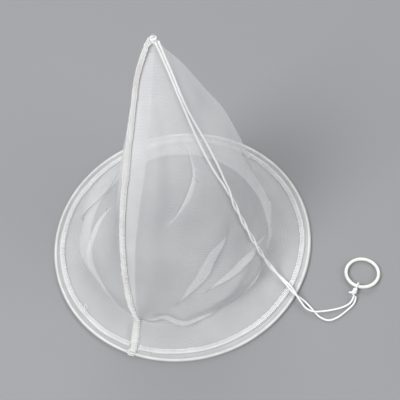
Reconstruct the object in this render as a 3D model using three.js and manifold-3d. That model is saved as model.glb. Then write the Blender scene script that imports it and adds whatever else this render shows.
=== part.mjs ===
// Conical sieve: a cone of nylon mesh on a wire hoop, with a doubled pull cord and a finger ring.
// Millimetres, +Z up. The hoop lies on the ground about the origin and the cone stands tip up.
import * as THREE from 'three'
import { mergeVertices } from 'three/addons/utils/BufferGeometryUtils.js'
import Module from 'manifold-3d'

const wasm = await Module()
wasm.setup()

// Driving dimensions of the hoop and the cloth
const HOOP_RADIUS = 125
const WIRE = 2.5
const CLOTH = 0.5
const GAP = 0.3
const TIP_HEIGHT = 268
const CASING_WIDTH = 9.3
const CASING_FRONT_WIDTH = 11.5
const CASING_RAMP = 1.6

// Driving dimensions of the stitching
const SEAM_WIDTH = 5.6
const SEAM_HEIGHT = 1.1
const SEAM_PITCH = 5.5
const HEM_WIDTH = 4.8
const HEM_HEIGHT = 0.9
const HEM_PITCH = 5.5
const HEM_INSET = 1.2
const HEM_STOP = 2.8
const STITCH_TOOTH = 0.45

// Driving dimensions of the cord and the finger ring
const CORD = 1.8
const CORD_SIDES = 8
const CORD_STEPS = 40
const RING_OUTER = 33
const RING_SECTION = 3.1
const RING_CENTRE = [161.6, -68]
const KNOT = { length: 7.5, width: 6.5, height: 5 }
const TIE_ROW = 11.8

// How finely the curved pieces are cut
const RIBS = 54
const WALL_ROWS = 20
const BRIM_ROWS = 3
const WIRE_TURN_ROWS = 6
const RING_STEPS = 36
const ROUND_STEPS = 10
const TIE_STEPS = RIBS / 2
const SEAM_START_ROWS = 2
const SEAM_END_ROWS = 4

// Heights and radii that follow from them
const UNDER_LEVEL = CLOTH / 2
const WIRE_LEVEL = CLOTH + GAP + WIRE / 2
const TURN_RADIUS = WIRE / 2 + GAP + CLOTH / 2
const WIRE_LINE = HOOP_RADIUS - CLOTH / 2 - TURN_RADIUS
const BRIM_LEVEL = 1.5 * CLOTH + 1.3 * GAP
const CORD_RADIUS = CORD / 2

// The standing cone, from the crease where it meets the brim to the tip.
// height, centre x, centre y, reach to the right, back, left and front, seam x, seam y
const SECTIONS = [
  [0, -2, 8, 87, 92, 86, 93, -52, -73],
  [8, -2, 8, 89, 92, 90, 94, -53, -72.5],
  [22, -1, 8, 89, 88, 92, 92, -54.5, -67],
  [42, 3, 9, 81, 78, 86, 82, -54, -58],
  [66, 8, 11, 70, 71, 66, 73, -51.5, -48.5],
  [95, 12, 15, 60, 61, 54, 62, -47, -38],
  [128, 15, 18, 52, 50, 47, 52, -40, -28],
  [160, 15, 20, 43.5, 38, 39, 40, -31.5, -18.5],
  [188, 14, 22, 33, 26, 28, 30, -23, -6],
  [213, 12.5, 22, 26, 15, 20, 21, -14.5, 7],
  [236, 12, 25, 16, 7, 13, 13, -6.5, 18.5],
  [255, 11, 27.5, 5.4, 2.8, 5.4, 4.6, 3, 26],
  [TIP_HEIGHT, 11, 28, 0.8, 0.8, 0.8, 0.8, 10.2, 28],
]
const LAST = SECTIONS.length - 1
const SEAM_RIDGE = 0.42
const HEM_SEAM_BEARING = Math.atan2(-105, -60)
const WIDE_CASING_BEARING = THREE.MathUtils.degToRad(285)
const WIDE_CASING_SPREAD = THREE.MathUtils.degToRad(48)

// Folds of the cloth: bearing from the seam at the foot and at the head in degrees,
// lowest and highest section, half width in degrees, height
const FOLDS = [
  { foot: 8, head: 34, from: 0.5, to: 10, width: 7, height: 2.4 },
  { foot: -42, head: -60, from: 0.4, to: 5, width: 11, height: 4.5 },
  { foot: -88, head: -80, from: 0.2, to: 4.5, width: 12, height: 3.5 },
  { foot: 24, head: 84, from: 1.6, to: 5, width: 9, height: -2 },
  { foot: 40, head: 108, from: 1.4, to: 3.8, width: 9, height: 2.4 },
  { foot: 122, head: 150, from: 0.3, to: 6.5, width: 10, height: 3.2 },
  { foot: 164, head: 170, from: 0.3, to: 4, width: 11, height: 3.5 },
  { foot: 206, head: 196, from: 0.3, to: 5, width: 12, height: 4 },
  { foot: 238, head: 226, from: 0.3, to: 4.5, width: 11, height: 3 },
]

// The two strands of the pull cord, from the tie at the tip to the knot at the finger ring
const STRAND_LEFT = [
  [11.9, 23.7, 264.5],
  [18.2, 11.6, 238.4],
  [21.6, 4, 221.9],
  [26.1, -3.2, 201.6],
  [32.1, -12.2, 175.4],
  [38.1, -19.9, 153.7],
  [47.6, -27.6, 123.2],
  [54.6, -34.7, 89.8],
  [63.4, -44.2, 56.4],
  [71.7, -48.3, 26.7],
  [78.5, -53.5, 11],
  [85.2, -61, 4.7],
  [90, -69.2, 4],
  [95.2, -78.2, 5.9],
  [103, -85.7, 2.5],
  [107.6, -92.6, 1.1],
  [110.4, -98, 1],
  [114, -103.6, 1],
  [120.8, -108.1, 1],
  [129.3, -106.9, 1],
  [140.1, -101.2, 1],
  [146.6, -96.8, 1.6],
  [149.4, -92.6, 2.6],
  [150.1, -90, 3.1],
]
const STRAND_RIGHT = [
  [14.3, 24.9, 264.6],
  [20.4, 12.5, 238.4],
  [24, 4.9, 222],
  [28.8, -2, 201.6],
  [37.4, -10.4, 173.5],
  [43.4, -17.7, 151.6],
  [50.1, -26.1, 122.1],
  [57.4, -32.9, 87.8],
  [67.3, -41.3, 53.2],
  [76.2, -44.8, 20],
  [82.4, -51.5, 9.5],
  [88.3, -59, 4.7],
  [93, -67.4, 4.2],
  [95.6, -78, 8.6],
  [99.6, -87.2, 5.2],
  [103.2, -93.6, 3.3],
  [109.5, -98.4, 3.9],
  [117, -98.6, 1.7],
  [125.3, -98.7, 1.05],
  [136, -97.9, 1.1],
  [143.6, -95.6, 2.2],
  [147, -92.4, 4.2],
  [148.6, -89.8, 5.2],
]

// One section of the cone, smoothly between two rows of the table
function sectionAt(row) {
  const low = Math.min(Math.floor(row), LAST - 1)
  const part = row - low
  const [a, b, c, d] = [-1, 0, 1, 2].map((k) => SECTIONS[THREE.MathUtils.clamp(low + k, 0, LAST)])
  const blend = (k) =>
    b[k] +
    0.5 * part * (c[k] - a[k]) +
    part ** 2 * (a[k] - 2.5 * b[k] + 2 * c[k] - 0.5 * d[k]) +
    0.5 * part ** 3 * (3 * (b[k] - c[k]) + d[k] - a[k])
  const [height, x, y, right, back, left, front, seamX, seamY] = b.map((_, k) => blend(k))
  return { height, x, y, right, back, left, front, seamX, seamY }
}

// How far an oval section reaches at a bearing
function ovalReach(section, bearing) {
  const across = Math.cos(bearing) / (Math.cos(bearing) > 0 ? section.right : section.left)
  const along = Math.sin(bearing) / (Math.sin(bearing) > 0 ? section.back : section.front)
  return 1 / Math.hypot(across, along)
}

// The smaller angle between two bearings
function turnBetween(a, b) {
  const turn = THREE.MathUtils.euclideanModulo(a - b + Math.PI, 2 * Math.PI)
  return turn - Math.PI
}

// How far the folds push the cloth out at a bearing from the seam
function foldLift(bearing, row) {
  let lift = 0
  for (const fold of FOLDS) {
    const along = (row - fold.from) / (fold.to - fold.from)
    if (along <= 0 || along >= 1) continue
    const middle = THREE.MathUtils.degToRad(THREE.MathUtils.lerp(fold.foot, fold.head, along))
    const off = turnBetween(bearing, middle) / THREE.MathUtils.degToRad(fold.width)
    lift += fold.height * Math.sin(Math.PI * along) * Math.exp(-off * off)
  }
  return lift
}

// A point of the cone's wall at a bearing from the seam and a row of the table
function wallPoint(bearing, row) {
  const section = sectionAt(row)
  const seamBearing = Math.atan2(section.seamY - section.y, section.seamX - section.x)
  const seamReach = Math.hypot(section.seamX - section.x, section.seamY - section.y)
  const ridge = seamReach / ovalReach(section, seamBearing) - 1
  const off = turnBetween(bearing, 0) / SEAM_RIDGE
  const at = seamBearing + bearing
  const reach = ovalReach(section, at) * (1 + ridge * Math.exp(-off * off)) + foldLift(bearing, row)
  const height = BRIM_LEVEL + section.height * (TIP_HEIGHT - BRIM_LEVEL) / TIP_HEIGHT
  return new THREE.Vector3(section.x + reach * Math.cos(at), section.y + reach * Math.sin(at), height)
}

// A point of the casing round the wire, at a radius and a level
function hemPoint(bearing, radius, level) {
  const at = HEM_SEAM_BEARING + bearing
  return new THREE.Vector3(radius * Math.cos(at), radius * Math.sin(at), level)
}

// The radius of the casing's sewn edge, which is wider at the front
function casingEdge(bearing) {
  const off = turnBetween(HEM_SEAM_BEARING + bearing, WIDE_CASING_BEARING) / WIDE_CASING_SPREAD
  const extra = (CASING_FRONT_WIDTH - CASING_WIDTH) * Math.exp(-off * off)
  return HOOP_RADIUS - CASING_WIDTH - extra
}

// The middle of the cloth along one rib: wall from the tip down, brim, round the wire, and back under
function ribPoints(bearing) {
  const points = []
  for (let i = 0; i <= WALL_ROWS; i++) points.push(wallPoint(bearing, LAST * (1 - i / WALL_ROWS)))
  const crease = points[WALL_ROWS]
  const rampFoot = hemPoint(bearing, WIRE_LINE - TURN_RADIUS - CASING_RAMP, BRIM_LEVEL)
  for (let i = 1; i <= BRIM_ROWS; i++) points.push(crease.clone().lerp(rampFoot, i / BRIM_ROWS))
  for (let i = 0; i <= WIRE_TURN_ROWS; i++) {
    const turn = THREE.MathUtils.lerp(0.7 * Math.PI, -0.5 * Math.PI, i / WIRE_TURN_ROWS)
    const radius = WIRE_LINE + TURN_RADIUS * Math.cos(turn)
    points.push(hemPoint(bearing, radius, WIRE_LEVEL + TURN_RADIUS * Math.sin(turn)))
  }
  points.push(hemPoint(bearing, casingEdge(bearing), UNDER_LEVEL))
  return points
}

// The outward normals of a grid of points whose rows are closed loops
function gridNormals(rows) {
  return rows.map((row, i) =>
    row.map((_, j) => {
      const next = rows[Math.min(i + 1, rows.length - 1)][j]
      const before = rows[Math.max(i - 1, 0)][j]
      const side = row[(j + 1) % row.length].clone().sub(row[(j + row.length - 1) % row.length])
      return next.clone().sub(before).cross(side).normalize()
    }),
  )
}

// A closed body from loops of points, with a fan over each end
function loopSolid(loops) {
  const count = loops[0].length
  const middle = (loop) => loop.reduce((sum, p) => sum.add(p), new THREE.Vector3()).divideScalar(count)
  const points = [...loops.flat(), middle(loops[0]), middle(loops.at(-1))]
  const [startPole, endPole] = [points.length - 2, points.length - 1]
  const lastLoop = (loops.length - 1) * count
  const faces = []
  for (let j = 0; j < count; j++) {
    const k = (j + 1) % count
    faces.push(startPole, k, j)
    for (let i = 0; i < lastLoop; i += count) {
      faces.push(i + j, i + k, i + count + k, i + j, i + count + k, i + count + j)
    }
    faces.push(endPole, lastLoop + j, lastLoop + k)
  }
  const geometry = new THREE.BufferGeometry().setFromPoints(points)
  geometry.setIndex(signedVolume(points, faces) > 0 ? faces : faces.reverse())
  geometry.computeVertexNormals()
  return geometry
}

// Volume inside a set of faces, negative when they face inward
function signedVolume(points, faces) {
  let volume = 0
  for (let i = 0; i < faces.length; i += 3) {
    const [a, b, c] = faces.slice(i, i + 3).map((k) => points[k])
    volume += a.dot(b.clone().cross(c)) / 6
  }
  return volume
}

// A flat band of stitching laid along a line, its edges toothed stitch by stitch
function stitchBand(line, across, outward, width, height) {
  const loops = line.map((point, i) => {
    const half = width / 2 - (i % 2) * STITCH_TOOTH
    const corner = (side, level) =>
      point.clone().addScaledVector(across[i], side * half).addScaledVector(outward[i], level * height)
    return [corner(-1, 0), corner(1, 0), corner(1, 1), corner(-1, 1)]
  })
  return loopSolid(loops)
}

// A solid of the boolean library from a three.js geometry
function toSolid(geometry) {
  const bare = geometry.clone()
  bare.deleteAttribute('normal')
  bare.deleteAttribute('uv')
  const merged = mergeVertices(bare, 1e-4)
  const vertProperties = new Float32Array(merged.attributes.position.array)
  const triVerts = new Uint32Array(merged.index.array)
  return new wasm.Manifold(new wasm.Mesh({ numProp: 3, vertProperties, triVerts }))
}

// The three.js geometry of a solid
function toGeometry(solid) {
  const mesh = solid.getMesh()
  const geometry = new THREE.BufferGeometry()
  geometry.setAttribute('position', new THREE.BufferAttribute(new Float32Array(mesh.vertProperties), 3))
  geometry.setIndex(new THREE.BufferAttribute(new Uint32Array(mesh.triVerts), 1))
  geometry.computeVertexNormals()
  return geometry
}

function piece(name, geometry, material) {
  const mesh = new THREE.Mesh(geometry, material)
  mesh.name = name
  return mesh
}

// Cloth of woven monofilament: one skin that is wall, brim and casing
function meshCone() {
  const bearings = Array.from({ length: RIBS }, (_, j) => (2 * Math.PI * j) / RIBS)
  const ribs = bearings.map(ribPoints)
  const rows = ribs[0].map((_, i) => ribs.map((rib) => rib[i]))
  const normals = gridNormals(rows)
  const face = (side) =>
    rows.map((row, i) => row.map((p, j) => p.clone().addScaledVector(normals[i][j], (side * CLOTH) / 2)))
  const outer = face(1)
  const inner = face(-1).reverse()
  return loopSolid([...outer, ...inner])
}

// Steel wire hoop inside the casing
function hoop() {
  const geometry = new THREE.TorusGeometry(WIRE_LINE, WIRE / 2, ROUND_STEPS, RIBS)
  geometry.rotateZ(HEM_SEAM_BEARING)
  geometry.translate(0, 0, WIRE_LEVEL)
  return geometry
}

// Overlocked band that closes the casing; it stops at each side of the seam
function hemStitching() {
  const hemLine = casingEdge(0) + HEM_INSET
  const opening = (SEAM_WIDTH / 2 + HEM_STOP) / (hemLine - HEM_WIDTH / 2)
  const stitches = Math.round(((2 * Math.PI - 2 * opening) * hemLine) / HEM_PITCH)
  const steps = 2 * stitches
  const line = []
  const across = []
  for (let i = 0; i <= steps; i++) {
    const bearing = THREE.MathUtils.lerp(opening, 2 * Math.PI - opening, i / steps)
    line.push(hemPoint(bearing, casingEdge(bearing) + HEM_INSET, BRIM_LEVEL + CLOTH / 2 + GAP))
    across.push(hemPoint(bearing, 1, 0))
  }
  const outward = line.map(() => new THREE.Vector3(0, 0, 1))
  return stitchBand(line, across, outward, HEM_WIDTH, HEM_HEIGHT)
}

// Overlocked side seam along the first rib: down the wall, over the brim and over the casing
function seamStitching() {
  const side = (2 * Math.PI) / RIBS
  const [left, middle, right] = [-side, 0, side].map(ribPoints)
  const normals = gridNormals(middle.map((_, i) => [left[i], middle[i], right[i]])).map((row) => row[1])
  const line = []
  const across = []
  const outward = []
  const place = (row, part) => {
    const normal = normals[row].clone().lerp(normals[row + 1], part).normalize()
    const from = left[row].clone().lerp(left[row + 1], part)
    const to = right[row].clone().lerp(right[row + 1], part)
    const point = middle[row].clone().lerp(middle[row + 1], part)
    line.push(point.addScaledVector(normal, CLOTH / 2 + GAP))
    across.push(to.sub(from).normalize())
    outward.push(normal)
  }
  const lastRow = middle.length - 1 - SEAM_END_ROWS
  for (let row = SEAM_START_ROWS; row < lastRow; row++) {
    const steps = Math.max(1, Math.round(middle[row].distanceTo(middle[row + 1]) / (SEAM_PITCH / 2)))
    for (let i = 0; i < steps; i++) place(row, i / steps)
  }
  place(lastRow - 1, 1)
  return stitchBand(line, across, outward, SEAM_WIDTH, SEAM_HEIGHT)
}

// Loop of cord drawn tight round the cloth under the tip
function tipTie() {
  const loops = []
  const clear = CLOTH / 2 + 2 * GAP + CORD_RADIUS
  const step = (2 * Math.PI) / TIE_STEPS
  for (let i = 0; i < TIE_STEPS; i++) {
    const point = wallPoint(i * step, TIE_ROW)
    const along = wallPoint((i + 1) * step, TIE_ROW).sub(wallPoint((i - 1) * step, TIE_ROW))
    const out = new THREE.Vector3(along.y, -along.x, 0).normalize()
    const middle = point.clone().addScaledVector(out, clear)
    const loop = []
    for (let k = 0; k < CORD_SIDES; k++) {
      const turn = (2 * Math.PI * k) / CORD_SIDES
      const spot = middle.clone().addScaledVector(out, CORD_RADIUS * Math.cos(turn))
      spot.z += CORD_RADIUS * Math.sin(turn)
      loop.push(spot)
    }
    loops.push(loop)
  }
  return closedLoopSolid(loops)
}

// A closed body from loops of points that come back to the first loop
function closedLoopSolid(loops) {
  const count = loops[0].length
  const points = loops.flat()
  const faces = []
  for (let i = 0; i < loops.length; i++) {
    const next = (i + 1) % loops.length
    for (let j = 0; j < count; j++) {
      const k = (j + 1) % count
      faces.push(i * count + j, i * count + k, next * count + k)
      faces.push(i * count + j, next * count + k, next * count + j)
    }
  }
  const geometry = new THREE.BufferGeometry().setFromPoints(points)
  geometry.setIndex(signedVolume(points, faces) > 0 ? faces : faces.reverse())
  geometry.computeVertexNormals()
  return geometry
}

// One strand of the pull cord along its points
function cordStrand(points) {
  const path = new THREE.CatmullRomCurve3(points.map((p) => new THREE.Vector3(...p)), false, 'centripetal')
  const section = new THREE.Shape()
  for (let k = 0; k < CORD_SIDES; k++) {
    const turn = (2 * Math.PI * k) / CORD_SIDES
    const spot = [CORD_RADIUS * Math.cos(turn), CORD_RADIUS * Math.sin(turn)]
    if (k === 0) section.moveTo(...spot)
    else section.lineTo(...spot)
  }
  section.closePath()
  return new THREE.ExtrudeGeometry(section, { steps: CORD_STEPS, extrudePath: path, curveSegments: 1 })
}

// Where the finger ring lies: one side on the ground, the other raised by the cord tied round it
const RING_LINE = (RING_OUTER - RING_SECTION) / 2
const TIE_LIFT = CORD + GAP
const RING_TILT = Math.asin(TIE_LIFT / (2 * RING_LINE))
const KNOT_BEARING = Math.atan2(-15, -9.7)

function ringFrame() {
  const frame = new THREE.Matrix4().makeRotationZ(KNOT_BEARING)
  const tilt = new THREE.Matrix4().makeRotationY(-RING_TILT)
  const place = new THREE.Matrix4().makeTranslation(...RING_CENTRE, RING_SECTION / 2 + TIE_LIFT / 2)
  return place.multiply(frame).multiply(tilt)
}

// Plain round ring for one finger
function pullRing() {
  return new THREE.TorusGeometry(RING_LINE, RING_SECTION / 2, ROUND_STEPS, RING_STEPS).applyMatrix4(ringFrame())
}

// Knot that ties both strands to the finger ring: a loop round its section and a lump beside it
function ringKnot() {
  const loop = new THREE.TorusGeometry(RING_SECTION / 2 + GAP + CORD_RADIUS, CORD_RADIUS, CORD_SIDES, 20)
  loop.rotateX(Math.PI / 2)
  loop.translate(RING_LINE, 0, 0)
  const lump = new THREE.SphereGeometry(0.5, 14, 10)
  lump.scale(KNOT.length, KNOT.width, KNOT.height)
  lump.translate(RING_LINE + RING_SECTION / 2 + GAP + KNOT.length / 2, 0, 0)
  const room = new THREE.TorusGeometry(RING_LINE, RING_SECTION / 2 + GAP, ROUND_STEPS, RING_STEPS)
  const solid = toSolid(loop).add(toSolid(lump)).subtract(toSolid(room))
  return toGeometry(solid).applyMatrix4(ringFrame())
}

const cloth = new THREE.MeshStandardMaterial({ color: 0xc9c9cf, roughness: 0.6, metalness: 0 })
const wire = new THREE.MeshStandardMaterial({ color: 0xdcdad4, roughness: 0.35, metalness: 0.6 })
const thread = new THREE.MeshStandardMaterial({ color: 0xe6e5e2, roughness: 0.85, metalness: 0 })
const seamThread = new THREE.MeshStandardMaterial({ color: 0xdddcd6, roughness: 0.85, metalness: 0 })
const cord = new THREE.MeshStandardMaterial({ color: 0xefeeea, roughness: 0.75, metalness: 0 })
const ringPlastic = new THREE.MeshStandardMaterial({ color: 0xe9e8df, roughness: 0.35, metalness: 0 })

const group = new THREE.Group()
group.add(
  piece('mesh_cone', meshCone(), cloth),
  piece('wire_hoop', hoop(), wire),
  piece('hem_stitching', hemStitching(), thread),
  piece('seam_stitching', seamStitching(), seamThread),
  piece('tip_tie', tipTie(), cord),
  piece('pull_ring', pullRing(), ringPlastic),
  piece('ring_knot', ringKnot(), cord),
)
for (const [name, points] of Object.entries({ cord_left: STRAND_LEFT, cord_right: STRAND_RIGHT })) {
  if (points.length > 1) group.add(piece(name, cordStrand(points), cord))
}

export default group
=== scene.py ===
# Conical sieve of nylon mesh on a wire hoop, standing tip up, with its pull cord and finger ring.
# Metres, +Z up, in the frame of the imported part.
import math

import bpy
import numpy as np
from mathutils import Matrix, Vector


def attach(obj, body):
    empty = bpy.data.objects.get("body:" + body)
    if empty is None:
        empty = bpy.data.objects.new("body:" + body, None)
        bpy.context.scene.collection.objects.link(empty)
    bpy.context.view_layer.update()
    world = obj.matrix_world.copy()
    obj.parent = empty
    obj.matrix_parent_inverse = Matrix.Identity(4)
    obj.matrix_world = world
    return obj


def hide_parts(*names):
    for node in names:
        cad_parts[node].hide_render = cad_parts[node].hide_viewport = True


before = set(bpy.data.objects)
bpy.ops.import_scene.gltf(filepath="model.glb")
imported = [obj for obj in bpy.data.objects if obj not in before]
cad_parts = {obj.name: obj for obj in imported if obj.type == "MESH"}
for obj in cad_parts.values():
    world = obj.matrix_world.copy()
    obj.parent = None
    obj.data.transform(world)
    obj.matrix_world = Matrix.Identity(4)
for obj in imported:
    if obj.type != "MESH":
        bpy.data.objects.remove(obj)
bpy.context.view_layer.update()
MM = 0.001

# Camera
# The photo looks down on the sieve from the front, a little turned, through a long lens.
CAMERA_LENS = 85
CAMERA_SENSOR = 36
CAMERA_DISTANCE = 0.86842
CAMERA_ELEVATION = math.radians(58.914)
CAMERA_ROLL = math.radians(-9.902)
CAMERA_TARGET = Vector((0.02441, 0.00585, 0.06))


def aim_camera():
    back = Vector((0, -math.cos(CAMERA_ELEVATION), math.sin(CAMERA_ELEVATION)))
    level_up = Vector((0, math.sin(CAMERA_ELEVATION), math.cos(CAMERA_ELEVATION)))
    turn = Matrix.Rotation(CAMERA_ROLL, 3, back)
    right = turn @ Vector((1, 0, 0))
    up = turn @ level_up
    camera = bpy.data.objects.new("camera", bpy.data.cameras.new("camera"))
    camera.data.lens = CAMERA_LENS
    camera.data.sensor_width = CAMERA_SENSOR
    axes = Matrix((right, up, back)).transposed().to_4x4()
    camera.matrix_world = Matrix.Translation(CAMERA_TARGET + back * CAMERA_DISTANCE) @ axes
    bpy.context.collection.objects.link(camera)
    bpy.context.scene.camera = camera


aim_camera()

# Pull cord
# A soft white cord of three plies, doubled: both strands start at the tie under the tip, lie down the
# front of the cloth, cross the hoop and end in one knot at the finger ring on the ground.
CORD_WIDTH = 1.8 * MM
PLIES = 3
PLY_TURN = 5.2 * MM
# the cord's reach between its plies and what a ply adds, as shares of its radius
PLY_CORE = 0.86
PLY_BULGE = 0.17
# how thin a cut end is, as a share, and the length over which it thins
END_SHARE = 0.6
END_TAPER = 0.8 * MM
CORD_SIDES = 12
CORD_STEP = 0.55 * MM
# points worked out between two given ones of a route, before they are evened out
SPAN_POINTS = 24
CORD_PALE = (0.95, 0.945, 0.94)
CORD_SOILED = (0.9, 0.895, 0.885)
# painted shade: the cord is darker where its fibre bump dips
CORD_GROOVE_SHADE = (0.84, 0.835, 0.825)
# where the strands wind round each other, in mm from the tip
TWIST_START = 152
TWIST_END = 292
TWISTS = 3
# how near each other the strands lie, 0 as routed and 1 touching, by mm from the tip
NEARNESS = [
    (0, 0), (10, 1), (58, 1), (72, 0),
    (TWIST_START - 14, 0), (TWIST_START, 1), (TWIST_END, 1), (TWIST_END + 12, 0),
]
# the strands touch side by side above this many mm from the tip, and wind round each other below
UPPER_PART = 100
# how far a touching strand lies from the middle, beside the other and over it, in widths of the cord
BESIDE = 0.6
BESIDE_WOUND = 0.2
OVER = 0.56
WOUND_RISE = 0.8 * MM
OFF_THE_CLOTH = np.array([0.35, -0.75, 0.56])
STRAND_LEFT = [
    (11.9, 23.7, 264.5),
    (18.2, 11.6, 238.4),
    (21.6, 4, 221.9),
    (26.1, -3.2, 201.6),
    (32.1, -12.2, 175.4),
    (38.1, -19.9, 153.7),
    (47.6, -27.6, 123.2),
    (54.6, -34.7, 89.8),
    (63.4, -44.2, 56.4),
    (71.7, -48.3, 26.7),
    (78.5, -53.5, 11),
    (85.2, -61, 4.7),
    (90, -69.2, 4),
    (95.2, -78.2, 5.9),
    (103, -85.7, 2.5),
    (107.6, -92.6, 1.1),
    (110.4, -98, 1),
    (114, -103.6, 1),
    (120.8, -108.1, 1),
    (129.3, -106.9, 1),
    (140.1, -101.2, 1),
    (146.6, -96.8, 1.6),
    (149.4, -92.6, 2.6),
    (150.1, -90, 3.1),
]
STRAND_RIGHT = [
    (14.3, 24.9, 264.6),
    (20.4, 12.5, 238.4),
    (24, 4.9, 222),
    (28.8, -2, 201.6),
    (37.4, -10.4, 173.5),
    (43.4, -17.7, 151.6),
    (50.1, -26.1, 122.1),
    (57.4, -32.9, 87.8),
    (67.3, -41.3, 53.2),
    (76.2, -44.8, 20),
    (82.4, -51.5, 9.5),
    (88.3, -59, 4.7),
    (93, -67.4, 4.2),
    (95.6, -78, 8.6),
    (99.6, -87.2, 5.2),
    (103.2, -93.6, 3.3),
    (109.5, -98.4, 3.9),
    (117, -98.6, 1.7),
    (125.3, -98.7, 1.05),
    (136, -97.9, 1.1),
    (143.6, -95.6, 2.2),
    (147, -92.4, 4.2),
    (148.6, -89.8, 5.2),
]


def weigh(first, second, low, high, at):
    """A point between two others, as the mark at lies between low and high."""
    return (first * (high - at) + second * (at - low)) / (high - low)


def smooth_route(points, step):
    """Points at about one step along a centripetal curve through the given points."""
    points = [np.array(p, float) for p in points]
    points = [2 * points[0] - points[1], *points, 2 * points[-1] - points[-2]]
    dense = []
    for a, b, c, d in zip(points, points[1:], points[2:], points[3:]):
        gaps = [np.linalg.norm(q - p) ** 0.5 for p, q in ((a, b), (b, c), (c, d))]
        k = np.cumsum([0, *gaps])
        for t in np.linspace(k[1], k[2], SPAN_POINTS, endpoint=False):
            ab = weigh(a, b, k[0], k[1], t)
            bc = weigh(b, c, k[1], k[2], t)
            cd = weigh(c, d, k[2], k[3], t)
            abc = weigh(ab, bc, k[0], k[2], t)
            bcd = weigh(bc, cd, k[1], k[3], t)
            dense.append(weigh(abc, bcd, k[1], k[2], t))
    return even_points(np.array([*dense, points[-2]]), step)


def run_lengths(line):
    """How far along a line each of its points is."""
    return np.concatenate([[0], np.cumsum(np.linalg.norm(np.diff(line, axis=0), axis=1))])


def at_marks(values, along, marks):
    """Values given along a line, read off at other marks along it."""
    return np.stack([np.interp(marks, along, values[:, k]) for k in range(values.shape[1])], axis=1)


def unit(vectors):
    return vectors / np.linalg.norm(vectors, axis=-1, keepdims=True)


def even_points(line, step):
    """The same line with its points at about one even step."""
    along = run_lengths(line)
    return at_marks(line, along, np.linspace(0, along[-1], max(2, round(along[-1] / step) + 1)))


def side_frames(line):
    """Two directions across a line at each of its points, turning as little as they can."""
    tangents = unit(np.gradient(line, axis=0))
    side = np.cross(tangents[0], [0, 0, 1.0]) + 1e-9
    sides = []
    for tangent in tangents:
        side = side - tangent * side.dot(tangent)
        side /= np.linalg.norm(side)
        sides.append(side)
    sides = np.array(sides)
    return sides, np.cross(tangents, sides)


def make_piece(name, points, faces, material, uv=None):
    """A smooth mesh object at the origin; uv gives a place on the pattern for each corner."""
    mesh = bpy.data.meshes.new(name)
    mesh.from_pydata([tuple(p) for p in points], [], faces)
    mesh.polygons.foreach_set("use_smooth", [True] * len(mesh.polygons))
    if uv is not None:
        mesh.uv_layers.new(name="pattern").data.foreach_set("uv", np.ravel(uv))
    mesh.materials.append(material)
    piece = bpy.data.objects.new(name, mesh)
    bpy.context.collection.objects.link(piece)
    return piece


def join_pieces(pieces, name):
    """One object of several, with their materials kept."""
    bpy.ops.object.select_all(action="DESELECT")
    for piece in pieces:
        piece.select_set(True)
    bpy.context.view_layer.objects.active = pieces[0]
    bpy.ops.object.join()
    pieces[0].name = name
    return pieces[0]


def tube_faces(steps, sides, start=0):
    """Faces of a capped tube whose rings of points follow each other."""
    faces = []
    for i in range(steps - 1):
        for j in range(sides):
            k = (j + 1) % sides
            low, high = start + i * sides, start + (i + 1) * sides
            faces.append((low + j, low + k, high + k, high + j))
    last = start + (steps - 1) * sides
    faces.append(tuple(start + j for j in reversed(range(sides))))
    faces.append(tuple(last + j for j in range(sides)))
    return faces


def twisted_cord(line, width, turn):
    """Points of a cord whose plies wind round its line."""
    sides, ups = side_frames(line)
    along = run_lengths(line)
    rings = []
    for spot, side, up, distance in zip(line, sides, ups, along):
        from_end = min(distance, along[-1] - distance) / END_TAPER
        taper = END_SHARE + (1 - END_SHARE) * min(1, from_end)
        for j in range(CORD_SIDES):
            angle = 2 * math.pi * j / CORD_SIDES
            ply = abs(math.cos(0.5 * PLIES * (angle - 2 * math.pi * distance / turn)))
            reach = 0.5 * width * taper * (PLY_CORE + PLY_BULGE * ply)
            rings.append(spot + reach * (math.cos(angle) * side + math.sin(angle) * up))
    return rings


class Shade:
    """One socket of a material's nodes, so that its sums read as plain sums."""

    def __init__(self, tree, socket):
        self.tree = tree
        self.socket = socket

    def node(self, kind, settings=(), inputs=(), output=0):
        """Another node: its settings first, then the values or links of its sockets."""
        made = self.tree.nodes.new(kind)
        for name, value in dict(settings).items():
            setattr(made, name, value)
        for name, value in dict(inputs).items():
            if isinstance(value, Shade):
                self.tree.links.new(value.socket, made.inputs[name])
            else:
                made.inputs[name].default_value = value
        return Shade(self.tree, made.outputs[output])

    def output(self, key):
        """Another output of the same node."""
        return Shade(self.tree, self.socket.node.outputs[key])

    def sum(self, operation, first, second=0.0):
        return self.node("ShaderNodeMath", {"operation": operation}, {0: first, 1: second})

    def __add__(self, other):
        return self.sum("ADD", self, other)

    def __sub__(self, other):
        return self.sum("SUBTRACT", self, other)

    def __mul__(self, other):
        return self.sum("MULTIPLY", self, other)

    def __radd__(self, other):
        return self.sum("ADD", other, self)

    def __rsub__(self, other):
        return self.sum("SUBTRACT", other, self)

    def __rmul__(self, other):
        return self.sum("MULTIPLY", other, self)

    def sine(self):
        return self.sum("SINE", self)

    def within(self, low, high):
        """0 below low, 1 above high, smooth between."""
        inputs = {"Value": self, "From Min": low, "From Max": high}
        return self.node("ShaderNodeMapRange", {"interpolation_type": "SMOOTHSTEP"}, inputs)

    def blend(self, first, second):
        """One colour where this is 0 and another where it is 1."""
        colours = [c if isinstance(c, Shade) else (*c, 1) for c in (first, second)]
        inputs = {0: self, 6: colours[0], 7: colours[1]}
        return self.node("ShaderNodeMix", {"data_type": "RGBA"}, inputs, output=2)


def begin_finish(name):
    """A new material, and the place on the object that its patterns start from."""
    material = bpy.data.materials.new(name)
    material.use_nodes = True
    return material, Shade(material.node_tree, None).node("ShaderNodeTexCoord", output="Object")


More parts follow.
